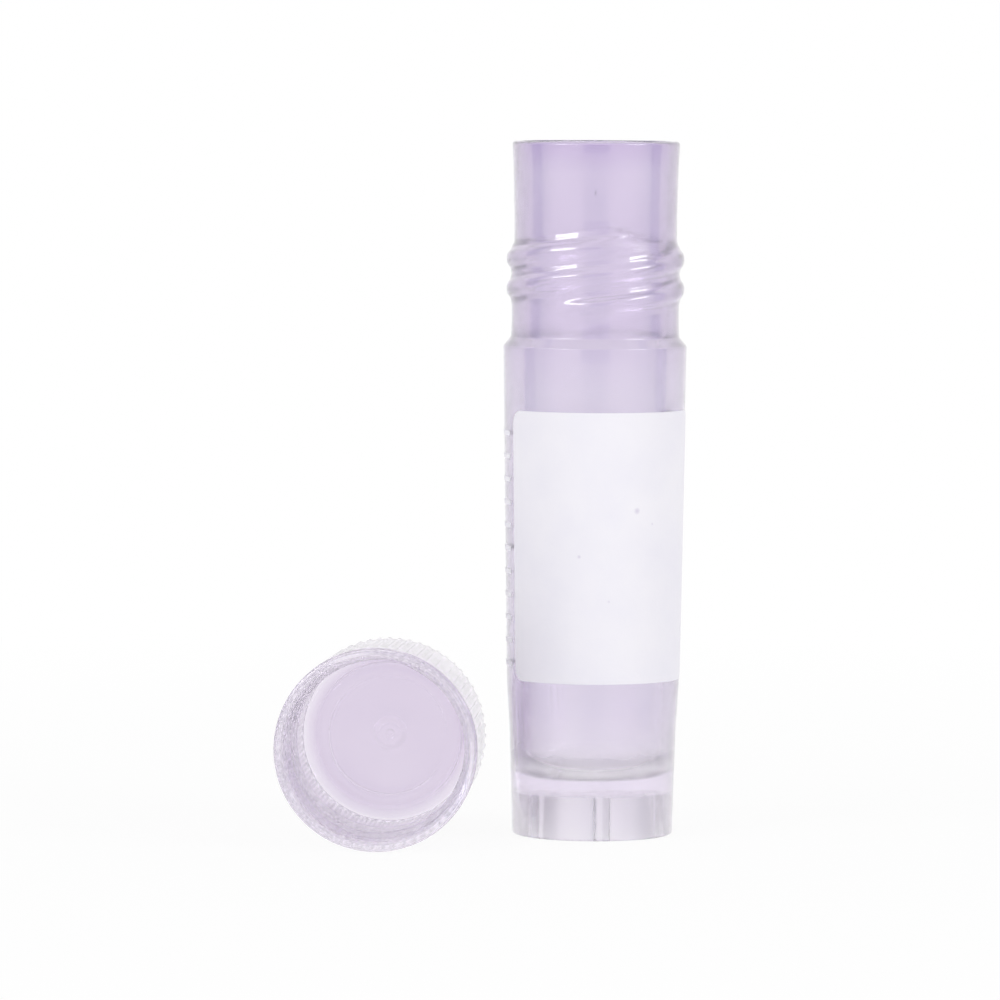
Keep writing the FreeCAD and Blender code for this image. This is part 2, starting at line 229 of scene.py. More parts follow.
def circle_half(radius, degrees):
    """A plain arc whose points are spread like those of the outline beside it."""
    turn = np.radians(np.interp(np.arange(HALF_KNOTS[-1] + 1), HALF_KNOTS, degrees))
    return np.stack([radius * np.cos(turn), radius * np.sin(turn)], 1)


def star_ring(half, height):
    """The whole ring that a half share makes, mirrored and repeated for each rib."""
    share = np.vstack([half * (1, -1), half[-2:0:-1]])
    points = []
    for number in range(STAR_RIBS):
        angle = math.radians(STAR_RIB_ANGLE + 360 / STAR_RIBS * number)
        turn = np.array([[math.cos(angle), -math.sin(angle)], [math.sin(angle), math.cos(angle)]])
        points.append(share @ turn.T)
    flat = np.vstack(points)
    return np.hstack([flat, np.full((len(flat), 1), height)])


def tube_rings():
    """The rings of the tube's skin, from the star's roof to the floor of the bore."""
    degrees = STAR_RIB_ANGLE - 180 / STAR_RIBS + np.arange(TUBE_SIDES) * 360 / TUBE_SIDES
    angles = np.radians(degrees)
    roof = circle_half(ROOF_RING, ROOF_RING_DEGREES)
    rings = [star_ring(roof * share, STAR_DEPTH) for share in ROOF_SHARES]
    for height in STAR_HEIGHTS:
        outer = STAR_RADIUS + (STAR_ROOF_RADIUS - STAR_RADIUS) * height / STAR_DEPTH
        rings.append(star_ring(star_half(outer), height))
    rings.append(star_ring(circle_half(BASE_RING, BASE_RING_DEGREES), 0.0))

    outside = refined(rounded(TUBE_OUTSIDE), TUBE_STEP)
    neck = [point for point in outside if NECK_FROM < point[1] < NECK_TO]
    rings += [circle(radius, height, angles) for radius, height in outside if height < THREAD_FROM]
    span = 360 * (THREAD_HIGH - THREAD_LOW) / THREAD_LEAD
    for height in np.arange(THREAD_FROM, THREAD_TO, THREAD_STEP):
        wall = np.interp(height, [point[1] for point in neck], [point[0] for point in neck])
        rise = thread_rise(
            degrees, height, THREAD_LOW, span, THREAD_START_ANGLE, RIDGE_DISTANCES, RIDGE_HEIGHTS
        )
        rings.append(circle(wall + (CREST_RADIUS - NECK_RADIUS) * rise, height, angles))
    rings += [circle(radius, height, angles) for radius, height in outside if height > THREAD_TO]
    bore = refined(rounded(TUBE_BORE), TUBE_STEP)[1:-1]
    rings += [circle(radius, height, angles) for radius, height in bore]
    return rings


def keep_axis_distance(thing):
    """Keeps each point's distance from the moulding's own axis, which its plastic reads."""
    distances = [point.co.xy.length for point in thing.data.vertices]
    kept = thing.data.attributes.new("from_axis", "FLOAT", "POINT")
    kept.data.foreach_set("value", distances)


tube = skin("tube_skin", tube_rings())
keep_axis_distance(tube)

# Natural polypropylene from a polished mould: glossy outside and hazy through the wall, so that what
# lies behind shows softly. Only the outer skin and a faint absorption hold the lilac cast. Its tint is
# painted paler towards the foot and deeper at the neck: painted light and shade that evens out the
# light coming through the walls at each height. The star hollow is more matt, and slow clouds and a
# light orange peel keep the plastic from looking like glass. A small dark mark lies on the neck.
# The tints by height carry painted light and shade: deeper at the neck and paler towards the foot.
TUBE_TINTS_WITH_PAINTED_LIGHT = ((3.0, "#F8F2FC"), (8.4, "#E8DFF2"), (29.6, "#E8DFF2"), (34.0, "#E0D3ED"))  # height, tint
TINT_SPAN = 40.0
CLOUD_LIGHT, CLOUD_DARK = "#FFFFFF", "#FAF8FC"
TUBE_CLOUD_SIZE = 7.0
SKIN_FROM, SKIN_TO = 4.85, 5.05  # distance from the axis where the bore's white turns to the tint
NICK_PLACE = (-0.1, -5.4, 42.85)
NICK_SQUASH = (1.0, 0.2, 0.4)
NICK_FROM, NICK_TO = 0.03, 0.10
NICK_COLOUR = "#B3ABC6"
TUBE_HAZE_SIZE = 2.5
TUBE_HAZE_LOW, TUBE_HAZE_HIGH = 0.18, 0.24
STAR_HAZE = 0.16
STAR_HAZE_FROM, STAR_HAZE_TO = 4.3, 4.7
STAR_HAZE_LOW, STAR_HAZE_HIGH = 5.0, 8.0
PEEL_SIZE = 1.1
PEEL_DEPTH = 0.006
PP_IOR = 1.49
TUBE_DEPTH_TINT = "#CCB0F0"
TUBE_DEPTH_DENSITY = 8.0


def linear(code):
    """An sRGB hex colour as the linear values that sockets take."""
    parts = [int(code[i : i + 2], 16) / 255 for i in (1, 3, 5)]
    return [c / 12.92 if c <= 0.04045 else ((c + 0.055) / 1.055) ** 2.4 for c in parts] + [1.0]


def add(tree, kind, links=None, **values):
    """Adds a shader node; links feed its inputs, and values set its inputs or its own settings."""
    node = tree.nodes.new("ShaderNode" + kind)
    for name, value in values.items():
        spaced = name.replace("_", " ")
        if spaced in node.inputs:
            node.inputs[spaced].default_value = value
        else:
            setattr(node, name, value)
    for name, socket in (links or {}).items():
        tree.links.new(socket, node.inputs[name])
    return node


def new_material(name):
    """A new material and its empty node tree."""
    material = bpy.data.materials.new(name)
    material.use_nodes = True
    material.node_tree.nodes.clear()
    return material, material.node_tree


tube_plastic, tree = new_material("natural_polypropylene_polished_mould")
place = add(tree, "TexCoord").outputs["Object"]
height = add(tree, "SeparateXYZ", {"Vector": place}).outputs["Z"]
from_axis = add(tree, "Attribute", attribute_name="from_axis").outputs["Fac"]
# A ramp of tints by height: painted light pales the foot and painted shade deepens the neck.
up = add(tree, "MapRange", {"Value": height}, From_Min=0.0, From_Max=TINT_SPAN * MM)
wall = add(tree, "ValToRGB", {"Fac": up.outputs["Result"]})
stops = wall.color_ramp.elements
for tint_height, tint in TUBE_TINTS_WITH_PAINTED_LIGHT:
    stops.new(tint_height / TINT_SPAN).color = linear(tint)
stops.remove(stops[0])
stops.remove(stops[len(stops) - 1])
clouds = add(tree, "TexNoise", {"Vector": place}, Scale=1 / (TUBE_CLOUD_SIZE * MM))
cloud = add(tree, "MapRange", {"Value": clouds.outputs["Fac"]}, From_Min=0.3, From_Max=0.7)
light = add(
    tree, "MixRGB", {"Fac": cloud.outputs["Result"]}, Color1=linear(CLOUD_LIGHT), Color2=linear(CLOUD_DARK)
)
cast = add(
    tree,
    "MixRGB",
    {"Color1": wall.outputs["Color"], "Color2": light.outputs["Color"]},
    Fac=1.0,
    blend_type="MULTIPLY",
)
inner = add(
    tree,
    "MapRange",
    {"Value": from_axis},
    From_Min=SKIN_FROM * MM,
    From_Max=SKIN_TO * MM,
    To_Min=1.0,
    To_Max=0.0,
)
cast = add(
    tree,
    "MixRGB",
    {"Fac": inner.outputs["Result"], "Color1": cast.outputs["Color"]},
    Color2=(1.0, 1.0, 1.0, 1.0),
)
flattened = add(tree, "VectorMath", {0: place}, operation="MULTIPLY")
flattened.inputs[1].default_value = NICK_SQUASH
gap = add(tree, "VectorMath", {0: flattened.outputs[0]}, operation="DISTANCE")
gap.inputs[1].default_value = [at * squash * MM for at, squash in zip(NICK_PLACE, NICK_SQUASH)]
nick = add(
    tree,
    "MapRange",
    {"Value": gap.outputs["Value"]},
    From_Min=NICK_FROM * MM,
    From_Max=NICK_TO * MM,
    To_Min=1.0,
    To_Max=0.0,
)
cast = add(
    tree,
    "MixRGB",
    {"Fac": nick.outputs["Result"], "Color1": cast.outputs["Color"]},
    Color2=linear(NICK_COLOUR),
)
hollow_across = add(
    tree,
    "MapRange",
    {"Value": from_axis},
    From_Min=STAR_HAZE_FROM * MM,
    From_Max=STAR_HAZE_TO * MM,
    To_Min=STAR_HAZE,
    To_Max=0.0,
)
hollow_up = add(
    tree,
    "MapRange",
    {"Value": height},
    From_Min=STAR_HAZE_LOW * MM,
    From_Max=STAR_HAZE_HIGH * MM,
    To_Min=1.0,
    To_Max=0.0,
)
star = add(
    tree,
    "Math",
    {0: hollow_across.outputs["Result"], 1: hollow_up.outputs["Result"]},
    operation="MULTIPLY",
)
fog = add(tree, "TexNoise", {"Vector": place}, Scale=1 / (TUBE_HAZE_SIZE * MM))
haze = add(
    tree,
    "MapRange",
    {"Value": fog.outputs["Fac"]},
    From_Min=0.3,
    From_Max=0.7,
    To_Min=TUBE_HAZE_LOW,
    To_Max=TUBE_HAZE_HIGH,
)
haze = add(tree, "Math", {0: haze.outputs["Result"], 1: star.outputs[0]}, operation="ADD")
grain = add(tree, "TexNoise", {"Vector": place}, Scale=1 / (PEEL_SIZE * MM))
peel = add(tree, "Bump", {"Height": grain.outputs["Fac"]}, Distance=PEEL_DEPTH * MM, Strength=1.0)
shader = add(
    tree,
    "BsdfPrincipled",
    {
        "Base Color": cast.outputs["Color"],
        "Roughness": haze.outputs[0],
        "Normal": peel.outputs["Normal"],
    },
    IOR=PP_IOR,
    Transmission_Weight=0.97,
    Coat_Weight=0.8,
    Coat_Roughness=0.05,
)
depth = add(tree, "VolumeAbsorption", Color=linear(TUBE_DEPTH_TINT), Density=TUBE_DEPTH_DENSITY)
add(tree, "OutputMaterial", {"Surface": shader.outputs[0], "Volume": depth.outputs[0]})
tube.data.materials.append(tube_plastic)
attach(tube, "root")
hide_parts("tube")


# ---------------------------------------------------------------------------------------------
# The screw cap: the same natural polypropylene, injection moulded in one shot, with 60 grip ribs,
# the thread that mates with the neck and a plug seal. It is off and lies on its side.

# Heights are in the cap's own frame, from its mouth at 0 to its closed top. The skin is listed from
# the gate mark over the ribbed wall and the mouth, and up the threaded inside to the plug.
CAP_SIDES = 480
CAP_STEP = 1.2
CAP_MOUTH_STEP = 0.6
CAP_HEIGHT = 14.2
CAP_MOUTH_RADIUS = 6.66
CAP_TOP_RADIUS = 6.48
CAP_MOUTH_EDGE_RADIUS = 6.655
CAP_MOUTH_HEIGHT = 0.005
CAP_RIM = 0.9
CAP_BORE_RADIUS = 5.79
CAP_DEPTH = 12.8
PLUG_RADIUS = 3.95
PLUG_MOUTH_HEIGHT = 11.3
GRIP_TOP = 13.1
GRIP_RUN_OUT = ((GRIP_TOP, 0.0), (13.0, 0.6), (12.8, 1.0))  # height, and the share of a rib that stands
GRIP_HIGH, GRIP_LOW, GRIP_RINGS = 12.0, CAP_RIM + 0.02, 10
GRIP_RIBS = 60
GRIP_RADIUS = 6.63  # over the crests, if they ran down to the mouth
GRIP_DEPTH = 0.13
GRIP_ACROSS = (0.08, 0.13, 0.19, 0.24)
GRIP_SHAPE = (1.0, 0.85, 0.15, 0.0)
RELIEF_RADIUS = 5.993
RELIEF_TOP = 7.5
CAP_CREST_RADIUS = 5.68
CAP_RIDGE_LOW = 1.0
CAP_RIDGE_SPAN = 306.0
CAP_RIDGE_START = -98.0
CAP_RIDGE_DISTANCES = (0.0, 0.10, 0.20, 0.28, 0.36, 0.46, 0.56, 0.66)
CAP_RIDGE_HEIGHTS = (1.0, 0.98, 0.90, 0.76, 0.55, 0.28, 0.10, 0.0)
CAP_THREAD_FROM, CAP_THREAD_STEP = 0.5, 0.11
CAP_TOP = [
    (0.0, 14.02, 0),
    (0.18, 14.02, 0.1),
    (0.34, 13.90, 0.1),
    (0.75, 13.90, 0.25),
    (1.15, CAP_HEIGHT, 0.2),
    (6.35, CAP_HEIGHT, 1.1),
    (6.35, 12.90, 0),
]
CAP_MOUTH = [
    (6.64, CAP_RIM, 0),
    (CAP_MOUTH_EDGE_RADIUS, 0.82, 0.05),
    (CAP_MOUTH_EDGE_RADIUS, CAP_MOUTH_HEIGHT, 0.3),
    (6.19, CAP_MOUTH_HEIGHT, 0.08),
    (RELIEF_RADIUS, 0.2, 0.15),
    (RELIEF_RADIUS, 0.45, 0),
]
CAP_INSIDE = [
    (RELIEF_RADIUS, RELIEF_TOP, 0),
    (CAP_BORE_RADIUS, 7.703, 0.1),
    (CAP_BORE_RADIUS, CAP_DEPTH, 0.25),
    (4.96, CAP_DEPTH, 0.06),
    (4.87, PLUG_MOUTH_HEIGHT, 0.3),
    (PLUG_RADIUS, PLUG_MOUTH_HEIGHT, 0.12),
    (PLUG_RADIUS, CAP_DEPTH, 0.12),
    (0.0, CAP_DEPTH, 0),
]


def grip_crest(height):
    """The radius over the ribs' crests at a height."""
    return GRIP_RADIUS - (GRIP_RADIUS - CAP_TOP_RADIUS) * height / CAP_HEIGHT


def cap_rings():
    """The rings of the cap's skin, turned round at the end so that its faces look outwards."""
    degrees = np.arange(CAP_SIDES) * 360 / CAP_SIDES
    angles = np.radians(degrees)
    pitch = 360 / GRIP_RIBS
    across = np.radians(np.abs((degrees + pitch / 2) % pitch - pitch / 2)) * CAP_MOUTH_RADIUS
    rib = np.interp(across, GRIP_ACROSS, GRIP_SHAPE)
    grips = list(GRIP_RUN_OUT) + [(height, 1.0) for height in np.linspace(GRIP_HIGH, GRIP_LOW, GRIP_RINGS)]

    top = refined(rounded(CAP_TOP), CAP_STEP)[1:-1]
    rings = [circle(radius, height, angles) for radius, height in top]
    for height, share in grips:
        rings.append(circle(grip_crest(height) - GRIP_DEPTH * (1 - rib * share), height, angles))
    mouth = refined(rounded(CAP_MOUTH), CAP_MOUTH_STEP)
    rings += [circle(radius, height, angles) for radius, height in mouth]
    for height in np.arange(CAP_THREAD_FROM, RELIEF_TOP, CAP_THREAD_STEP):
        rise = thread_rise(
            degrees,
            height,
            CAP_RIDGE_LOW,
            CAP_RIDGE_SPAN,
            CAP_RIDGE_START,
            CAP_RIDGE_DISTANCES,
            CAP_RIDGE_HEIGHTS,
        )
        rings.append(circle(RELIEF_RADIUS - (RELIEF_RADIUS - CAP_CREST_RADIUS) * rise, height, angles))
    inside = refined(rounded(CAP_INSIDE), CAP_STEP)[1:-1]
    rings += [circle(radius, height, angles) for radius, height in inside]
    return rings[::-1]


cap = skin("cap_skin", cap_rings())
keep_axis_distance(cap)

# The cap lies on its side, on its rim and the end of one rib, its mouth to the front.
CAP_MOUTH_PLACE = (-14.3063, -12.2884, 6.6718)
CAP_YAW = 3.2
cap_slope = math.atan((CAP_MOUTH_RADIUS - grip_crest(GRIP_TOP)) / (GRIP_TOP - CAP_RIM))
cap.data.transform(
    Matrix.Translation(Vector(CAP_MOUTH_PLACE) * MM)
    @ Matrix.Rotation(math.radians(-CAP_YAW), 4, "Z")
    @ Matrix.Rotation(math.radians(-90) - cap_slope, 4, "X")
)

# Natural polypropylene of the cap, from a polished mould: clearer than the tube and sharper in its
# highlights. The middle of the top plate holds the lilac cast, and the ribbed wall round it is
# painted nearly white, painted light that lifts the shade gathering in its walls, with slow clouds over both.
CAP_PLATE_TINT = "#DFD3E7"
# Painted light: the ribbed wall's tint is nearly white, to lift the shade that gathers in its walls.
CAP_WALL_PAINTED_LIGHT = "#FCF8FF"
CAP_PLATE_TO, CAP_WALL_FROM = 4.9, 6.2
CAP_WALL_SHARE_LOW, CAP_WALL_SHARE_HIGH = 0.05, 0.95
CAP_CLOUD_SIZE = 5.0
CAP_CLOUD = 0.05
CAP_HAZE_SIZE = 2.0
CAP_HAZE_LOW, CAP_HAZE_HIGH = 0.10, 0.16
CAP_DEPTH_TINT = "#CFB9E0"
CAP_DEPTH_DENSITY = 6.0

cap_plastic, tree = new_material("natural_polypropylene_cap_moulding")
place = add(tree, "TexCoord").outputs["Object"]
from_axis = add(tree, "Attribute", attribute_name="from_axis").outputs["Fac"]
wall = add(
    tree,
    "MapRange",
    {"Value": from_axis},
    From_Min=CAP_PLATE_TO * MM,
    From_Max=CAP_WALL_FROM * MM,
    To_Min=CAP_WALL_SHARE_LOW,
    To_Max=CAP_WALL_SHARE_HIGH,
)
clouds = add(tree, "TexNoise", {"Vector": place}, Scale=1 / (CAP_CLOUD_SIZE * MM))
cloud = add(
    tree,
    "MapRange",
    {"Value": clouds.outputs["Fac"]},
    From_Min=0.3,
    From_Max=0.7,
    To_Min=-CAP_CLOUD,
    To_Max=CAP_CLOUD,
)
share = add(tree, "Math", {0: cloud.outputs["Result"], 1: wall.outputs["Result"]}, operation="ADD")
# The plate's lilac and the wall's painted light, mixed by distance from the axis.
cast = add(
    tree, "MixRGB", {"Fac": share.outputs[0]}, Color1=linear(CAP_PLATE_TINT), Color2=linear(CAP_WALL_PAINTED_LIGHT)
)
fog = add(tree, "TexNoise", {"Vector": place}, Scale=1 / (CAP_HAZE_SIZE * MM))
haze = add(
    tree,
    "MapRange",
    {"Value": fog.outputs["Fac"]},
    From_Min=0.3,
    From_Max=0.7,
    To_Min=CAP_HAZE_LOW,
    To_Max=CAP_HAZE_HIGH,
)
grain = add(tree, "TexNoise", {"Vector": place}, Scale=1 / (PEEL_SIZE * MM))
peel = add(tree, "Bump", {"Height": grain.outputs["Fac"]}, Distance=PEEL_DEPTH * MM, Strength=1.0)
shader = add(
    tree,
    "BsdfPrincipled",
    {
        "Base Color": cast.outputs["Color"],
        "Roughness": haze.outputs["Result"],
        "Normal": peel.outputs["Normal"],
    },
    IOR=PP_IOR,
    Transmission_Weight=0.985,
)
depth = add(tree, "VolumeAbsorption", Color=linear(CAP_DEPTH_TINT), Density=CAP_DEPTH_DENSITY)
add(tree, "OutputMaterial", {"Surface": shader.outputs[0], "Volume": depth.outputs[0]})
cap.data.materials.append(cap_plastic)
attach(cap, "root")
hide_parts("cap")


# ---------------------------------------------------------------------------------------------
# The writing patch: white ink, screen printed on the body and left blank to be written on. It is a
# film on the body's cone, its back just inside the plastic so that the ink is wetted to it.
INK_PROUD = 0.036
INK_SUNK = 0.01
INK_SHARP = 50
PATCH_LOW, PATCH_HIGH = 10.45, 28.4
PATCH_LEFT, PATCH_RIGHT = -153.5, -2.0
PATCH_CORNER = 0.9
FILM_COLUMN, FILM_ROW = 0.25, 1.0  # about one face of a film, across and up
CORNER_ROWS = (0, 0.04, 0.13, 0.26, 0.43, 0.62, 0.82, 1.0)  # rows of a rounded corner, as shares of it


def body_radius(height):
    """The radius of the body's cone at a height within the print."""
    return np.interp(height, (FOOT_HEIGHT, BODY_HEIGHT), (FOOT_TOP_RADIUS, BODY_TOP_RADIUS))


def film(low, high, left, right, corner, column_mm=FILM_COLUMN, row_mm=FILM_ROW):
    """Points and faces of a film with rounded corners, between two heights and two angles in degrees."""
    near_corner = corner * np.array(CORNER_ROWS)
    middle = np.linspace(low + corner, high - corner, max(2, math.ceil((high - low) / row_mm)))[1:-1]
    heights = np.concatenate([low + near_corner, middle, (high - near_corner)[::-1]])
    across = math.radians(right - left) * body_radius(low)
    columns = max(3, math.ceil(across / column_mm))
    outer, inner = [], []
    for height in heights:
        from_edge = min(height - low, high - height, corner)
        inset = corner - math.sqrt(max(corner**2 - (corner - from_edge) ** 2, 0))
        trim = math.degrees(inset / body_radius(height))
        angles = np.radians(np.linspace(left + trim, right - trim, columns))
        outer.append(circle(body_radius(height) + INK_PROUD, height, angles))
        inner.append(circle(body_radius(height) - INK_SUNK, height, angles))
    rows = len(heights)
    count = rows * columns
    grid = np.arange(count).reshape(rows, columns)
    faces = []
    for row in range(rows - 1):
        for column in range(columns - 1):
            a, b = grid[row, column], grid[row, column + 1]
            c, d = grid[row + 1, column + 1], grid[row + 1, column]
            faces += [(a, b, c, d), (count + a, count + d, count + c, count + b)]
    loop = list(grid[0]) + list(grid[1:, -1]) + list(grid[-1, -2::-1]) + list(grid[-2:0:-1, 0])
    faces += [(b, a, count + a, count + b) for a, b in zip(loop, loop[1:] + loop[:1])]
    points = np.vstack([np.vstack(outer), np.vstack(inner)])
    return points, [tuple(int(v) for v in face) for face in faces]


patch = mesh_object(
    "writing_patch_ink", *film(PATCH_LOW, PATCH_HIGH, PATCH_LEFT, PATCH_RIGHT, PATCH_CORNER), sharp=INK_SHARP
)

# White screen-print ink: flat and opaque, with a faint cloudiness and a chalky tooth for
# a marker pen, which is drawn coarser than a real one so that it shows. A few round grey flecks lie
# in it, as x, y, z and radius in mm.
INK_DULL, INK_BRIGHT = "#F2F0F8", "#F6F4FA"
INK_CLOUD_SIZE = 4.0
INK_TOOTH_SIZE = 0.22
INK_TOOTH_DEPTH = 0.004
INK_ROUGH_LOW, INK_ROUGH_HIGH = 0.48, 0.62
FLECKS = (
    (2.80, -5.33, 21.92, 0.20),
    (3.84, -4.64, 21.02, 0.10),
    (0.95, -5.87, 15.94, 0.10),
    (-1.05, -5.88, 18.90, 0.12),
)
FLECK_CORE, FLECK_EDGE = 0.4, 1.3  # shares of its radius where a fleck begins and ends to fade
FLECK_COLOUR = "#E0DBE9"

ink, tree = new_material("white_screen_print_ink")
place = add(tree, "TexCoord").outputs["Object"]
clouds = add(tree, "TexNoise", {"Vector": place}, Scale=1 / (INK_CLOUD_SIZE * MM), Detail=4.0)
cloud = add(tree, "MapRange", {"Value": clouds.outputs["Fac"]}, From_Min=0.35, From_Max=0.65)
colour = add(
    tree, "MixRGB", {"Fac": cloud.outputs["Result"]}, Color1=linear(INK_DULL), Color2=linear(INK_BRIGHT)
)
for *middle, radius in FLECKS:
    gap = add(tree, "VectorMath", {0: place}, operation="DISTANCE")
    gap.inputs[1].default_value = Vector(middle) * MM
    fleck = add(
        tree,
        "MapRange",
        {"Value": gap.outputs["Value"]},
        From_Min=FLECK_CORE * radius * MM,
        From_Max=FLECK_EDGE * radius * MM,
        To_Min=1.0,
        To_Max=0.0,
    )
    colour = add(
        tree,
        "MixRGB",
        {"Fac": fleck.outputs["Result"], "Color1": colour.outputs["Color"]},
        Color2=linear(FLECK_COLOUR),
    )
tooth = add(tree, "TexNoise", {"Vector": place}, Scale=1 / (INK_TOOTH_SIZE * MM), Detail=1.0)
rough = add(
    tree,
    "MapRange",
    {"Value": tooth.outputs["Fac"]},
    From_Min=0.3,
    From_Max=0.7,
    To_Min=INK_ROUGH_LOW,
    To_Max=INK_ROUGH_HIGH,
)
chalk = add(tree, "Bump", {"Height": tooth.outputs["Fac"]}, Distance=INK_TOOTH_DEPTH * MM, Strength=1.0)
shader = add(
    tree,
    "BsdfPrincipled",
    {
        "Base Color": colour.outputs["Color"],
        "Roughness": rough.outputs["Result"],
        "Normal": chalk.outputs["Normal"],
    },
)
add(tree, "OutputMaterial", {"Surface": shader.outputs[0]})
patch.data.materials.append(ink)
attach(patch, "root")
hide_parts("writing_patch")


# ---------------------------------------------------------------------------------------------
# The graduation marks: the same white ink, screen printed in one column beside the patch. Every
# fifth tick is long, and plain numerals stand past the long ones.
TICKS = 11
TICK_LOW = 11.5
TICK_SPACING = 1.535
TICK_LINE = 0.30
TICK_TO_PATCH = 5.5
TICK_RIGHT = PATCH_LEFT - TICK_TO_PATCH
TICK_LENGTH, LONG_TICK_LENGTH = 2.2, 3.3
LONG_TICK_EVERY = 5
TICK_CORNER = 0.08
TICK_COLUMN, TICK_ROW = 0.2, 0.3


def joined(parts):
    """Several (points, faces) as one."""
    points, faces, count = [], [], 0
    for some_points, some_faces in parts:
        faces += [tuple(v + count for v in face) for face in some_faces]
        points.append(some_points)
        count += len(some_points)
    return np.vstack(points), faces


marks = []
for number in range(TICKS):
    length = TICK_LENGTH if number % LONG_TICK_EVERY else LONG_TICK_LENGTH
    middle = TICK_LOW + TICK_SPACING * number
    low, high = middle - TICK_LINE / 2, middle + TICK_LINE / 2
    left = TICK_RIGHT - math.degrees(length / body_radius(middle))
    marks.append(film(low, high, left, TICK_RIGHT, TICK_CORNER, TICK_COLUMN, TICK_ROW))

# The numerals are pen strokes in a cell 1.1 mm wide and 1.8 mm high, one by each long tick.
NUMERALS = ("0.5", "1.0", "1.5")
NUMERAL_STROKE = 0.26
NUMERAL_STEP = 0.15
NUMERAL_GAP = 0.55
NUMERAL_WIDTH = 4.0
NUMERAL_HALF_HEIGHT = 0.9
POINT_ADVANCE, FIGURE_ADVANCE = 0.75, 1.25
STROKES = {
    "0": [[(0.55 + 0.45 * math.cos(t), 0.9 + 0.8 * math.sin(t)) for t in np.linspace(0, 2 * math.pi, 25)]],
    "1": [[(0.25, 1.35), (0.6, 1.7), (0.6, 0.1)]],
    "5": [
        [(0.95, 1.7), (0.25, 1.7), (0.18, 0.98)]
        + [(0.5 + 0.42 * math.cos(t), 0.6 + 0.5 * math.sin(t)) for t in np.linspace(2.2, -2.5, 14)]
    ],
    ".": [[(0.5, 0.12), (0.62, 0.12)]],
}


def stroke(line, origin_angle, origin_height):
    """A pen stroke on the body: a closed ribbon of even width along a line of (across, up) points."""
    line = np.array(refined(np.array(line), NUMERAL_STEP))
    ahead = np.gradient(line, axis=0)
    ahead /= np.linalg.norm(ahead, axis=1)[:, None]
    side = np.stack([-ahead[:, 1], ahead[:, 0]], 1) * NUMERAL_STROKE / 2
    rings = []
    for place, offset in zip(line, side):
        ring = []
        for flat_place, proud in (
            (place + offset, INK_PROUD),
            (place - offset, INK_PROUD),
            (place - offset, -INK_SUNK),
            (place + offset, -INK_SUNK),
        ):
            height = origin_height + flat_place[1]
            radius = body_radius(height) + proud
            angle = math.radians(origin_angle) + flat_place[0] / body_radius(height)
            ring.append((radius * math.cos(angle), radius * math.sin(angle), height))
        rings.append(ring)
    count = len(rings)
    faces = [(0, 1, 2, 3), tuple(4 * (count - 1) + k for k in (3, 2, 1, 0))]
    for row in range(count - 1):
        for k in range(4):
            a, b = 4 * row + k, 4 * row + (k + 1) % 4
            faces.append((b, a, a + 4, b + 4))
    return np.array(rings).reshape(-1, 3), faces


for place, text in enumerate(NUMERALS):
    middle = TICK_LOW + TICK_SPACING * (LONG_TICK_EVERY * place)
    radius = float(body_radius(middle))
    first = TICK_RIGHT - math.degrees((LONG_TICK_LENGTH + NUMERAL_GAP + NUMERAL_WIDTH) / radius)
    at = 0.0
    for sign in text:
        for line in STROKES[sign]:
            marks.append(stroke(line, first + math.degrees(at / radius), middle - NUMERAL_HALF_HEIGHT))
        at += POINT_ADVANCE if sign == "." else FIGURE_ADVANCE
graduations = mesh_object("graduation_ink", *joined(marks), sharp=INK_SHARP)
graduations.data.materials.append(ink)
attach(graduations, "root")
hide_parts("graduation_marks")


# ---------------------------------------------------------------------------------------------
# The floor and the air round it: a flat sheet of matt white paper that keeps a weak shadow near the
# object, and a white surround. Near the object less of the paper's white glow shows, which paints a
# faint grey ring of shade round it, with the real shadow in it. The camera, gloss and clear plastic see
# both as white or nearly so, while the light that the surround throws on matt surfaces is weaker.
FLOOR_SIZE = 40.0
# Between these distances the painted grey ring of shade round the object fades to white.
FLOOR_NEAR, FLOOR_FAR = 0.03, 0.16  # metres from the tube, between which the shadow gives way to white
FLOOR_NEAR_WHITE = 0.93
FLOOR_PAPER = "#F7F7F8"
SURROUND_FILL = 0.62
WHITE = (1.0, 1.0, 1.0, 1.0)


def seen_directly(tree):
    """1 for rays from the camera, off gloss and through plastic, and 0 for the rest."""
    path = add(tree, "LightPath").outputs
    either = add(tree, "Math", {0: path["Is Camera Ray"], 1: path["Is Glossy Ray"]}, operation="MAXIMUM")
    either = add(tree, "Math", {0: either.outputs[0], 1: path["Is Transmission Ray"]}, operation="MAXIMUM")
    return either.outputs[0]


bpy.ops.mesh.primitive_plane_add(size=FLOOR_SIZE, location=(0, 0, 0))
floor = bpy.context.object
floor.name = "floor"

# Matt white paper: it has no gloss, and takes a shadow softly.
floor_paper, tree = new_material("matt_white_paper")
place = add(tree, "TexCoord").outputs["Object"]
spread = add(tree, "VectorMath", {0: place}, operation="LENGTH")
# The white glow's share, lowered near the object: a painted ring of shade, in which the real shadow shows
# through the matt share.
white = add(
    tree,
    "MapRange",
    {"Value": spread.outputs["Value"]},
    From_Min=FLOOR_NEAR,
    From_Max=FLOOR_FAR,
    To_Min=FLOOR_NEAR_WHITE,
    To_Max=1.0,
)
white = add(tree, "Math", {0: white.outputs["Result"], 1: seen_directly(tree)}, operation="MULTIPLY")
matt = add(tree, "BsdfDiffuse", Color=linear(FLOOR_PAPER))
glow = add(tree, "Emission", Color=WHITE, Strength=1.0)
mix = add(tree, "MixShader", {0: white.outputs[0], 1: matt.outputs[0], 2: glow.outputs[0]})
add(tree, "OutputMaterial", {"Surface": mix.outputs[0]})
floor_paper.cycles.emission_sampling = "NONE"
floor.data.materials.append(floor_paper)
floor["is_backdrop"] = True

world = bpy.data.worlds.new("studio")
bpy.context.scene.world = world
world.cycles.sampling_method = "NONE"
world.use_nodes = True
tree = world.node_tree
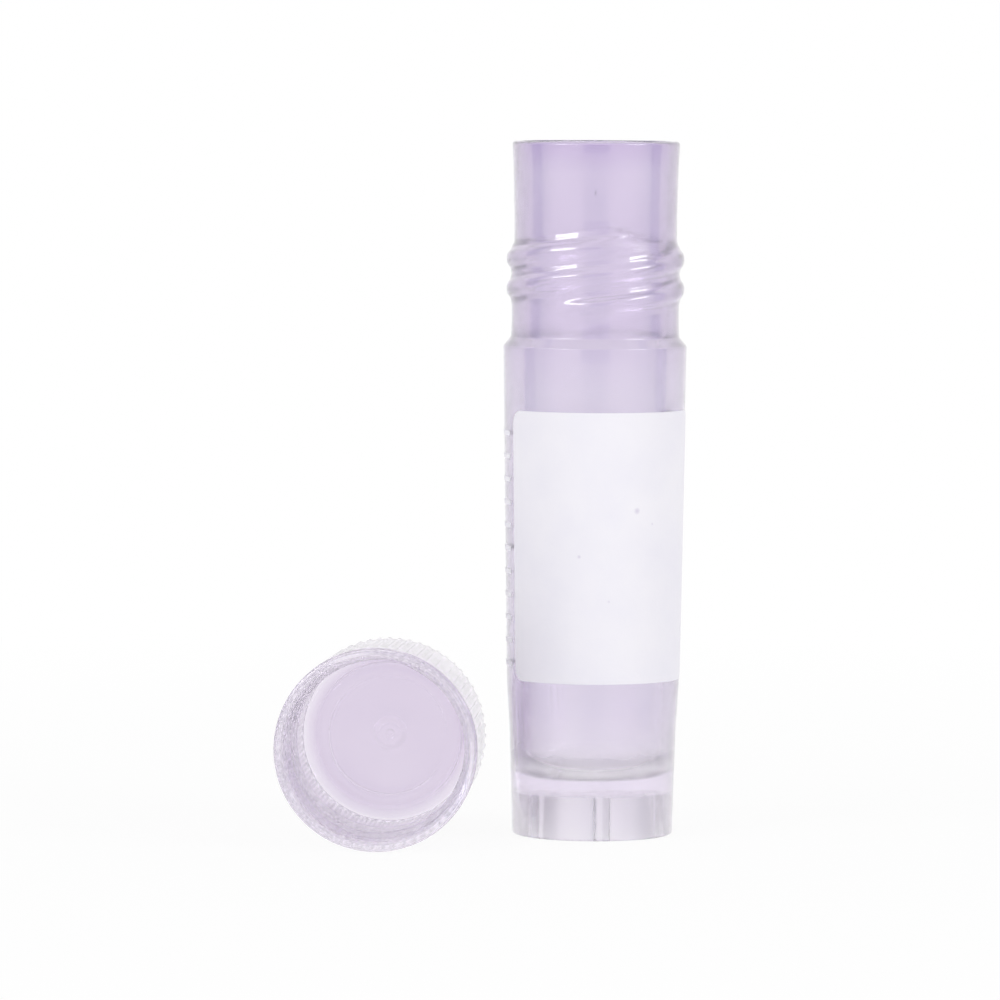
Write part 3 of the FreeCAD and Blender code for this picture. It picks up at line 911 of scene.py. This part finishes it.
tree.nodes.clear()
strength = add(tree, "MapRange", {"Value": seen_directly(tree)}, To_Min=SURROUND_FILL, To_Max=1.0)
background = add(tree, "Background", {"Strength": strength.outputs["Result"]}, Color=WHITE)
add(tree, "OutputWorld", {"Surface": background.outputs[0]})


# ---------------------------------------------------------------------------------------------
# The lamps: two long softboxes in front of the object and above it, one to each side. They are a
# cloth front over a lamp, and make the bright lines on the thread and the lip.
SOFTBOX_AIM = (0, 0, 0.03)
SOFTBOX_DEEP = 0.09
LEFT_PLACE, LEFT_WIDE, LEFT_WATTS = (-0.40, -0.38, 0.27), 0.34, 1.0
RIGHT_PLACE, RIGHT_WIDE, RIGHT_WATTS = (0.46, -0.27, 0.27), 0.26, 0.9


def softbox(name, place, aim, width, height, watts):
    """A rectangular lamp that faces the point it is aimed at."""
    lamp = bpy.data.lights.new(name, "AREA")
    lamp.shape = "RECTANGLE"
    lamp.size = width
    lamp.size_y = height
    lamp.energy = watts
    thing = bpy.data.objects.new(name, lamp)
    bpy.context.scene.collection.objects.link(thing)
    thing.location = place
    thing.rotation_euler = (Vector(aim) - Vector(place)).to_track_quat("-Z", "Y").to_euler()


softbox("softbox_left", LEFT_PLACE, SOFTBOX_AIM, LEFT_WIDE, SOFTBOX_DEEP, LEFT_WATTS)
softbox("softbox_right", RIGHT_PLACE, SOFTBOX_AIM, RIGHT_WIDE, SOFTBOX_DEEP, RIGHT_WATTS)


# ---------------------------------------------------------------------------------------------
# The cards: sheets of blue-grey paper out of the camera's sight, two at the sides, for thin dark
# lines along the bore, and one far off behind the camera. Only gloss and clear plastic show them.
CARD_SHARP = 40
CARD_DARK, CARD_LIGHT = "#3A52A0", "#46609F"
CARD_FIBRE_SIZE = 4.0
CARDS = {
    "card_left": ((-150, -25), (-150, 25), 0, 250),
    "card_right": ((150, -25), (150, 25), 0, 250),
    "card_front": ((-300, -900), (300, -900), 0, 400),
}

# Matt paper with a slight cloudiness: one even tone that gloss and clear plastic pick up.
card_paper, tree = new_material("matt_blue_grey_paper")
place = add(tree, "TexCoord").outputs["Object"]
fibre = add(tree, "TexNoise", {"Vector": place}, Scale=1 / (CARD_FIBRE_SIZE * MM))
tone = add(tree, "MixRGB", {"Fac": fibre.outputs["Fac"]}, Color1=linear(CARD_DARK), Color2=linear(CARD_LIGHT))
glow = add(tree, "Emission", {"Color": tone.outputs["Color"]}, Strength=1.0)
add(tree, "OutputMaterial", {"Surface": glow.outputs[0]})
card_paper.cycles.emission_sampling = "NONE"
for name, (first, last, low, high) in CARDS.items():
    corners = [(*first, low), (*last, low), (*last, high), (*first, high)]
    card = mesh_object(name, corners, [(0, 1, 2, 3)], CARD_SHARP)
    card.data.materials.append(card_paper)
    card.visible_camera = False
    card.visible_diffuse = False
    card.visible_shadow = False
    card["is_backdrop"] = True


# ---------------------------------------------------------------------------------------------
# The camera: a long lens a little above the top of the object, tilted slightly down. Light crosses
# many walls of clear plastic before it leaves the part, so it may turn many times on its way.
CAMERA_PLACE = (-0.00627, -0.4658, 0.05157)
CAMERA_DOWN = 3.6
CAMERA_ROLL = 0.32
CAMERA_LENS = 252.0
CAMERA_SENSOR = 36.0
MOST_BOUNCES = 40
MOST_GLOSS_BOUNCES = 32
MOST_CLEAR_BOUNCES = 32

camera_data = bpy.data.cameras.new("camera")
camera_data.lens = CAMERA_LENS
camera_data.sensor_width = CAMERA_SENSOR
camera = bpy.data.objects.new("camera", camera_data)
bpy.context.scene.collection.objects.link(camera)
camera.matrix_world = (
    Matrix.Translation(CAMERA_PLACE)
    @ Matrix.Rotation(math.radians(90 - CAMERA_DOWN), 4, "X")
    @ Matrix.Rotation(math.radians(CAMERA_ROLL), 4, "Z")
)
bpy.context.scene.camera = camera

bpy.context.scene.view_settings.view_transform = "Standard"
bpy.context.scene.cycles.max_bounces = MOST_BOUNCES
bpy.context.scene.cycles.glossy_bounces = MOST_GLOSS_BOUNCES
bpy.context.scene.cycles.transmission_bounces = MOST_CLEAR_BOUNCES

low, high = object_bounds()
